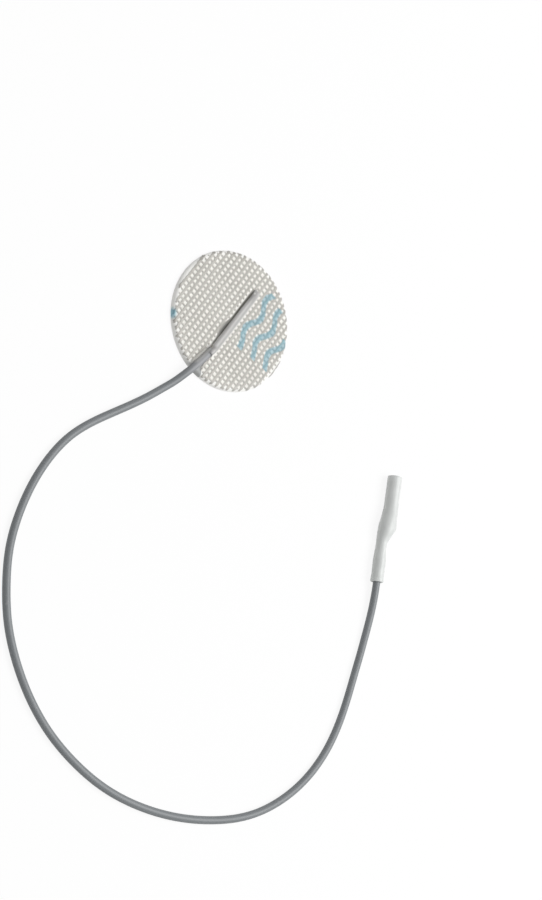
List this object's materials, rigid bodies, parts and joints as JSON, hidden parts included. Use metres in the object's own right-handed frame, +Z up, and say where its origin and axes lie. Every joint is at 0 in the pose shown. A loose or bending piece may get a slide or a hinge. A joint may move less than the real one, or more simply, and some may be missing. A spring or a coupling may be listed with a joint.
{
  "type": "adhesive electrode pad",
  "caption": "Round self-adhesive gel electrode pad with a knitted conductive cloth face, a thin grey lead and a white-sleeved socket for a pin.",
  "frame": {"origin": "on the table under the middle of the gel disc", "axes": "+Z up out of the cloth face, +X along the slit in the cloth, away from the lead"},
  "size_m": [0.117, 0.0993, 0.0039],
  "materials": {
    "gel": "off-white translucent hydrogel, slightly glossy",
    "cloth": "silver-grey open knit with rows of small holes and a few pale blue printed strokes",
    "jacket": "mid-grey soft insulation with a low sheen",
    "strand": "tinned fine strands",
    "sleeve": "white heat-shrink sleeve, slightly translucent",
    "socket": "bright plated metal"
  },
  "bodies": {
    "root": {"gel_pad": "gel", "mesh_cover": "cloth", "pad_wire": "strand", "lead_cord": "jacket", "connector_sleeve": "sleeve", "pin_socket": "socket", "plug_wire": "strand"}
  },
  "joints": []
}
